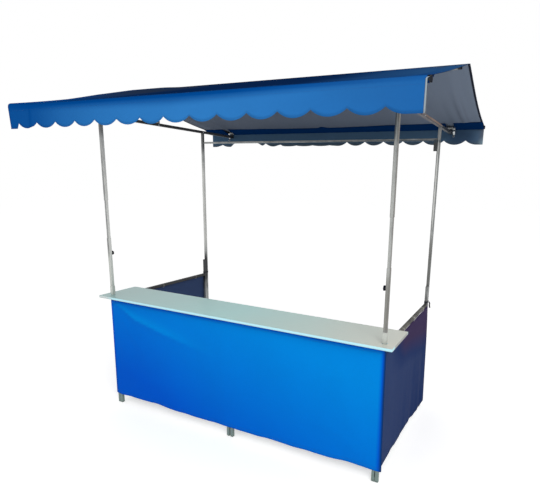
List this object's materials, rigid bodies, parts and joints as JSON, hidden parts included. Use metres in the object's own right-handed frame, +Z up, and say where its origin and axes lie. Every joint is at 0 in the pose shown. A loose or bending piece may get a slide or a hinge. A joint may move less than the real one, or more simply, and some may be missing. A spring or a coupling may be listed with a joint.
{
  "type": "folding market stall",
  "caption": "Knock-down market stall: steel tube frame, board counter in front, gabled fabric canopy with scalloped valances and fabric skirts.",
  "frame": {"origin": "on the ground in the middle of the overall box", "axes": "+X along the counter, -Y towards the customer, +Z up"},
  "size_m": [2.48, 1.852, 2.2768],
  "materials": {
    "steel": "galvanised, dull",
    "board": "white faced board, used",
    "canopy": "coated polyester, blue",
    "skirt": "coated polyester, bright blue",
    "side_skirt": "coated polyester, navy",
    "plastic": "moulded, black",
    "tape": "woven tape"
  },
  "bodies": {
    "root": {"canopy_front_slope": "canopy", "canopy_rear_slope": "canopy", "clamp_knob_left": "plastic", "clamp_knob_right": "plastic", "counter_top": "board", "foot_caps": "plastic", "frame_hinges": "steel", "front_eave_tube": "steel", "front_frame_left_bottom_rail": "steel", "front_frame_left_inner_leg": "steel", "front_frame_left_outer_leg": "steel", "front_frame_left_top_rail": "steel", "front_frame_right_bottom_rail": "steel", "front_frame_right_inner_leg": "steel", "front_frame_right_outer_leg": "steel", "front_frame_right_top_rail": "steel", "front_post_left_inner": "steel", "front_post_left_lower": "steel", "front_post_left_upper": "steel", "front_post_right_inner": "steel", "front_post_right_lower": "steel", "front_post_right_upper": "steel", "front_skirt": "skirt", "front_valance": "canopy", "rear_eave_tube": "steel", "rear_post_left_lower": "steel", "rear_post_left_upper": "steel", "rear_post_right_lower": "steel", "rear_post_right_upper": "steel", "rear_tie_rail": "steel", "rear_valance": "canopy", "ridge_prop_left": "steel", "ridge_prop_right": "steel", "ridge_tube": "steel", "roof_rail_left": "steel", "roof_rail_right": "steel", "side_frame_left_bottom_rail": "steel", "side_frame_left_front_leg": "steel", "side_frame_left_rear_leg": "steel", "side_frame_left_top_rail": "steel", "side_frame_right_bottom_rail": "steel", "side_frame_right_front_leg": "steel", "side_frame_right_rear_leg": "steel", "side_frame_right_top_rail": "steel", "side_skirt_left": "side_skirt", "side_skirt_right": "side_skirt", "skirt_ties": "tape", "tube_end_plugs": "plastic"}
  },
  "joints": []
}
